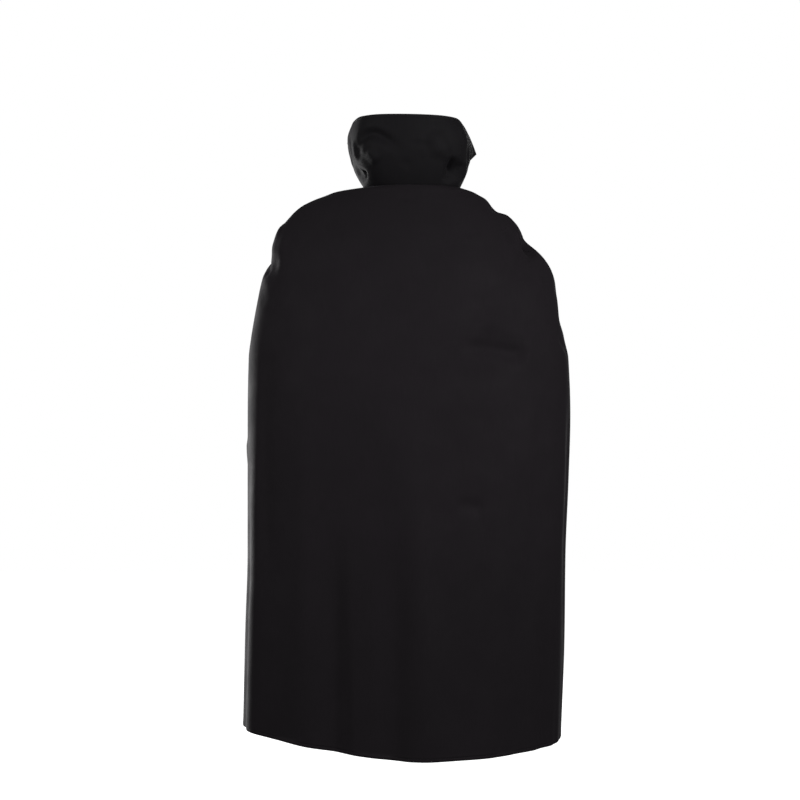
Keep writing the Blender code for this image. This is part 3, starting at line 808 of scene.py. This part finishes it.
ribbons = []
top = np.array(RIBBON_END[0])
for side, mirror, edge, beside, share in RIBBON_SIDES:
    _, front_face, front_behind, _ = sheets[f"front_{side}_cloth"]
    start = throat_line(front_face, front_behind, edge, beside)
    to_knot = lines_across(RIBBON_TO_KNOT, mirror, (0.0, 0.0, -1.0))
    ribbons.append(ribbon(f"ribbon_{side}", f"tie_{side}", [start, *to_knot], False))
    hanging = [top + (np.array(row) - top) * (share, share, share, 1.0) for row in RIBBON_END]
    ends = lines_across(hanging, mirror, (1.0, 0.0, 0.0))
    ribbons.append(ribbon(f"ribbon_{side}_end", f"tie_{side}_end", ends, True))
for piece, long in ribbons:
    print(piece.name, "length", round(long, 3))


# %% [markdown]
# ## The knot
# A knot in satin ribbon is a soft lump with one turn of ribbon drawn round its middle. It
# starts as a block of the knot's size, is divided, pulled in at its corners and rounded,
# and a narrower block becomes the turn that crosses it.

# %% Model the knot
KNOT_MIDDLE = (0.0, -0.0800, -0.0545)
KNOT_SIZE = (0.0152, 0.0080, 0.0128)
TURN_SIZE = (0.0074, 0.0092, 0.0136)
CUBE_FACE_UV = 0.25
KNOT_CUTS = 3
END_BAND = 0.45
KNOT_PINCH = 0.72
TURN_PINCH = 0.97
TURN_TILT = math.radians(7.0)
ROUNDING_LEVELS = 2


def soft_block(name, size, tilt, pinch):
    """A rounded block whose ends are pinched, as cloth drawn tight, with its map in metres."""
    bpy.ops.object.select_all(action="DESELECT")
    bpy.ops.mesh.primitive_cube_add(size=1.0, location=KNOT_MIDDLE)
    block = bpy.context.active_object
    block.name = name
    block.scale = size
    block.rotation_euler = (0.0, tilt, 0.0)
    bpy.ops.object.transform_apply(location=True, rotation=True, scale=True)
    bpy.ops.object.mode_set(mode="EDIT")
    bpy.ops.mesh.select_all(action="SELECT")
    bpy.ops.mesh.subdivide(number_cuts=KNOT_CUTS, smoothness=0.0)
    bpy.ops.mesh.select_all(action="DESELECT")
    bpy.ops.object.mode_set(mode="OBJECT")
    for vertex in block.data.vertices:
        vertex.select = abs(vertex.co.x - KNOT_MIDDLE[0]) > size[0] * END_BAND
    bpy.ops.object.mode_set(mode="EDIT")
    bpy.ops.transform.resize(value=(1.0, pinch, pinch), center_override=KNOT_MIDDLE)
    bpy.ops.mesh.select_all(action="SELECT")
    bpy.ops.mesh.vertices_smooth(factor=0.5, repeat=2)
    bpy.ops.object.mode_set(mode="OBJECT")
    rounding = block.modifiers.new("rounding", "SUBSURF")
    rounding.levels = ROUNDING_LEVELS
    rounding.render_levels = ROUNDING_LEVELS
    bpy.ops.object.modifier_apply(modifier=rounding.name)
    bpy.ops.object.shade_smooth()
    for corner in block.data.uv_layers.active.data:
        corner.uv = corner.uv * (size[0] / CUBE_FACE_UV)
    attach(block, "root")
    return block


knot = soft_block("knot", KNOT_SIZE, 0.0, KNOT_PINCH)
knot_turn = soft_block("knot_turn", TURN_SIZE, TURN_TILT, TURN_PINCH)
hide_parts("tie_knot")
print("knot size in mm", [round(v * 1000, 1) for v in knot.dimensions])


# %% [markdown]
# ## Black woven polyester
# The cape is a plain-woven polyester, close to taffeta: nearly black, dull from straight on,
# with a faint grey bloom where the light grazes it, because thousands of round yarns each
# catch it. The weave is a bump made from two sets of waves, one for each yarn direction, at
# the real yarn spacing. Slow noise stands for slack spots in the cloth.

# %% Colours and node helpers
WAVE_RATE = 20.0
NOISE_DETAIL = 2.0
SLUB_SCALE = (900.0, 26.0, 1.0)
SLUB_SHARE = 0.4
SLACK_SCALE = 17.0
SLACK_DETAIL = 3.0
SLACK_ENDS = (0.3, 0.7)
ROUGH_DRIFT = 0.05
DRIFT_SCALE = 3.1
DRIFT_ENDS = (0.12, 0.42)


def linear(code):
    """An sRGB hex colour as linear red, green, blue and alpha."""
    parts = [int(code[i : i + 2], 16) / 255.0 for i in (0, 2, 4)]
    return (*(c / 12.92 if c <= 0.04045 else ((c + 0.055) / 1.055) ** 2.4 for c in parts), 1.0)


def new_material(name):
    """A material with its node tree and its shader."""
    made = bpy.data.materials.new(name)
    made.use_nodes = True
    return made, made.node_tree, made.node_tree.nodes["Principled BSDF"]


def add_node(tree, kind, inputs=(), **settings):
    """Adds one node, sets its properties, and fills or links its inputs."""
    node = tree.nodes.new(kind)
    for key, value in settings.items():
        setattr(node, key, value)
    for key, value in dict(inputs).items():
        if isinstance(value, bpy.types.NodeSocket):
            tree.links.new(value, node.inputs[key])
        else:
            node.inputs[key].default_value = value
    return node


def add_noise(tree, vector, scale, detail):
    """The value of a noise texture."""
    inputs = {"Vector": vector, "Scale": scale, "Detail": detail}
    return add_node(tree, "ShaderNodeTexNoise", inputs).outputs["Fac"]


def add_bump(tree, height, distance, below=None):
    """A bump, laid over the one below it where there is one."""
    inputs = {"Height": height, "Distance": distance}
    if below:
        inputs["Normal"] = below
    return add_node(tree, "ShaderNodeBump", inputs).outputs["Normal"]


def combine(tree, operation, first, second):
    """Two values joined by one step of arithmetic."""
    return add_node(tree, "ShaderNodeMath", {0: first, 1: second}, operation=operation).outputs[0]


def yarn_wave(tree, place, yarn, way):
    """Waves across one set of yarns, from -0.5 to 0.5. Two yarns make one full wave."""
    inputs = {"Vector": place, "Scale": 2.0 * math.pi / (WAVE_RATE * 2.0 * yarn)}
    wave = add_node(tree, "ShaderNodeTexWave", inputs, bands_direction=way)
    return combine(tree, "SUBTRACT", wave.outputs["Fac"], 0.5)


def woven_cloth(name, dark, light, yarn, rough, weave_depth, slack_depth, sockets):
    """A woven finish: two crossed sets of yarns, slubs, slack spots and a little colour drift."""
    made, tree, shader = new_material(name)
    place = add_node(tree, "ShaderNodeUVMap", uv_map="UVMap").outputs["UV"]
    solid = add_node(tree, "ShaderNodeTexCoord").outputs["Object"]
    warp, weft = (yarn_wave(tree, place, yarn, way) for way in "XY")
    crossing = combine(tree, "MULTIPLY", warp, weft)
    stretched = add_node(tree, "ShaderNodeMapping", {"Vector": place, "Scale": SLUB_SCALE})
    slub = add_noise(tree, stretched.outputs["Vector"], 1.0, NOISE_DETAIL)
    slack = add_noise(tree, solid, SLACK_SCALE, SLACK_DETAIL)
    drift = add_noise(tree, solid, DRIFT_SCALE, NOISE_DETAIL)
    mixed = combine(tree, "MULTIPLY", drift, slub)
    ramp = add_node(tree, "ShaderNodeValToRGB", {"Fac": mixed})
    for stop, position, code in zip(ramp.color_ramp.elements, DRIFT_ENDS, (dark, light)):
        stop.position = position
        stop.color = linear(code)
    tree.links.new(ramp.outputs["Color"], shader.inputs["Base Color"])
    spread = {
        "Value": slack,
        "From Min": SLACK_ENDS[0],
        "From Max": SLACK_ENDS[1],
        "To Min": rough - ROUGH_DRIFT,
        "To Max": rough + ROUGH_DRIFT,
    }
    gloss = add_node(tree, "ShaderNodeMapRange", spread)
    tree.links.new(gloss.outputs["Result"], shader.inputs["Roughness"])
    slack_bump = add_bump(tree, slack, slack_depth)
    slub_bump = add_bump(tree, slub, weave_depth * SLUB_SHARE, slack_bump)
    weave_bump = add_bump(tree, crossing, weave_depth, slub_bump)
    tree.links.new(weave_bump, shader.inputs["Normal"])
    for socket, value in sockets.items():
        shader.inputs[socket].default_value = value
    return made


# %% The finishes
GREY_BLOOM = {
    "Specular IOR Level": 0.12,
    "Sheen Roughness": 0.30,
    "Sheen Tint": linear("b9b6bd"),
}
# Dull outer face: low mirror reflection, and a grey sheen that only shows at grazing angles
outer_taffeta = woven_cloth(
    "black polyester taffeta, plain woven", "1b181b", "1f1b1f",
    yarn=0.00030, rough=0.80, weave_depth=0.00006, slack_depth=0.0003,
    sockets={**GREY_BLOOM, "Sheen Weight": 0.06},
)
# The other face of a reversible cloth: the same black, closer woven and a little glossier
inner_satin = woven_cloth(
    "black polyester satin, inner face", "171517", "1d1b1e",
    yarn=0.00022, rough=0.62, weave_depth=0.00004, slack_depth=0.0005,
    sockets={**GREY_BLOOM, "Sheen Weight": 0.02},
)
# The same taffeta over a stiffening: smoother, so its creases read sharper. Its colours are darker
# than the cape's, as painted shade on the collar
collar_taffeta_painted_shade = woven_cloth(
    "black polyester taffeta over a stiffening", "151416", "1b191c",
    yarn=0.00030, rough=0.74, weave_depth=0.00006, slack_depth=0.0003,
    sockets={**GREY_BLOOM, "Sheen Weight": 0.05},
)
# Satin ribbon: finer yarns and a clear soft shine along its folds
satin_ribbon = woven_cloth(
    "black polyester satin ribbon", "141315", "1b1a1d",
    yarn=0.00016, rough=0.42, weave_depth=0.00003, slack_depth=0.0001,
    sockets={"Specular IOR Level": 0.24, "Sheen Weight": 0.03, "Sheen Roughness": 0.25},
)
TWIST_SCALE = 2600.0
TWIST_DETAIL = 1.0
TWIST_DEPTH = 0.00004


def thread_finish(name, colour):
    """Spun polyester thread: a fine twist round each stitch."""
    made, tree, shader = new_material(name)
    solid = add_node(tree, "ShaderNodeTexCoord").outputs["Object"]
    twist = add_noise(tree, solid, TWIST_SCALE, TWIST_DETAIL)
    tree.links.new(add_bump(tree, twist, TWIST_DEPTH), shader.inputs["Normal"])
    shader.inputs["Base Color"].default_value = linear(colour)
    shader.inputs["Roughness"].default_value = 0.55
    shader.inputs["Specular IOR Level"].default_value = 0.35
    return made


thread = thread_finish("black spun polyester thread", "1f1e20")
# The collar gets the copy of the taffeta whose darker colours are painted shade
for name, (piece, _, _, _) in sheets.items():
    piece.data.materials.append(collar_taffeta_painted_shade if name == "collar_cloth" else outer_taffeta)
    piece.data.materials.append(inner_satin)
for piece, _ in ribbons:
    piece.data.materials.append(satin_ribbon)
    piece.data.materials.append(satin_ribbon)
for piece in (knot, knot_turn):
    piece.data.materials.append(satin_ribbon)
for piece in threads.values():
    piece.data.materials.append(thread)
finishes = (outer_taffeta, inner_satin, collar_taffeta_painted_shade, satin_ribbon, thread)
print("finishes", [made.name for made in finishes])


# %% [markdown]


# %% [markdown]
# ## Floor and light
# A pale floor well under the hem, a white surround and soft lamps, as in a studio. The main
# lamp is on the camera's side of the cape, at the right of the picture and above the collar.
# Its spread is narrowed, so its light falls off towards the hem, and so does that of a weaker
# fill at the left. Two low lamps beyond the cape rake along its sides and give the soft bright
# edges, the left one much the stronger. A front lamp lights the side that the picture hides.

# %% Pale floor
FLOOR_DROP = 0.32
FLOOR_SIZE = 16.0
FLOOR_GRAIN_SCALE = 60.0
FLOOR_GRAIN_DEPTH = 0.0002
WHITE = (1.0, 1.0, 1.0, 1.0)


def camera_strength(tree, elsewhere):
    """A strength of 1 for what the camera sees directly, and another for the light it gives."""
    seen = add_node(tree, "ShaderNodeLightPath").outputs["Is Camera Ray"]
    inputs = {"Value": seen, "To Min": elsewhere, "To Max": 1.0}
    return add_node(tree, "ShaderNodeMapRange", inputs).outputs["Result"]


bpy.ops.object.select_all(action="DESELECT")
bpy.ops.mesh.primitive_plane_add(size=FLOOR_SIZE, location=(0.0, 0.0, HEM - FLOOR_DROP))
floor = bpy.context.active_object
floor.name = "pale_floor"
painted, floor_tree, floor_shader = new_material("pale matt studio floor")
solid = add_node(floor_tree, "ShaderNodeTexCoord").outputs["Object"]
grain = add_noise(floor_tree, solid, FLOOR_GRAIN_SCALE, NOISE_DETAIL)
floor_bump = add_bump(floor_tree, grain, FLOOR_GRAIN_DEPTH)
floor_tree.links.new(floor_bump, floor_shader.inputs["Normal"])
floor_tree.links.new(camera_strength(floor_tree, 0.0), floor_shader.inputs["Emission Strength"])
floor_shader.inputs["Base Color"].default_value = linear("a0a0a0")
floor_shader.inputs["Roughness"].default_value = 0.9
floor_shader.inputs["Emission Color"].default_value = WHITE
floor_shader.inputs["Specular IOR Level"].default_value = 0.1
floor.data.materials.append(painted)

# %% Soft light
WORLD_LIGHT = 0.10
LAMPS = (
    # name, place, aimed at, width, height, spread in degrees, watts
    ("main_lamp", (-1.8, 2.0, 0.50), (0.1, 0.2, -0.45), 1.2, 0.6, 100.0, 16.0),
    ("left_fill_lamp", (2.2, 1.4, 0.50), (0.1, 0.2, -0.50), 1.2, 1.0, 100.0, 9.0),
    ("left_rake_lamp", (1.9, -2.1, -0.7), (0.0, 0.0, -0.7), 0.6, 1.6, 180.0, 68.0),
    ("right_rake_lamp", (-1.6, -2.8, -0.8), (0.0, 0.0, -0.8), 0.6, 1.4, 180.0, 7.0),
    ("front_lamp", (-0.4, -3.6, 0.1), (0.0, 0.0, -0.6), 2.0, 1.6, 180.0, 40.0),
)


def lamp(name, place, aim, width, height, spread, watts):
    """A soft rectangle of light, aimed at a point."""
    data = bpy.data.lights.new(name, "AREA")
    data.shape = "RECTANGLE"
    data.size, data.size_y, data.energy = width, height, watts
    data.spread = math.radians(spread)
    made = bpy.data.objects.new(name, data)
    made.location = place
    made.rotation_euler = (Vector(aim) - Vector(place)).to_track_quat("-Z", "Y").to_euler()
    bpy.context.scene.collection.objects.link(made)
    return made


for row in LAMPS:
    lamp(*row)

surround = bpy.data.worlds.new("white_surround")
bpy.context.scene.world = surround
surround.use_nodes = True
world_tree = surround.node_tree
background = world_tree.nodes["Background"]
background.inputs["Color"].default_value = WHITE
world_tree.links.new(camera_strength(world_tree, WORLD_LIGHT), background.inputs["Strength"])
bpy.context.scene.view_settings.view_transform = "Standard"
print("lamps", [row[0] for row in LAMPS])
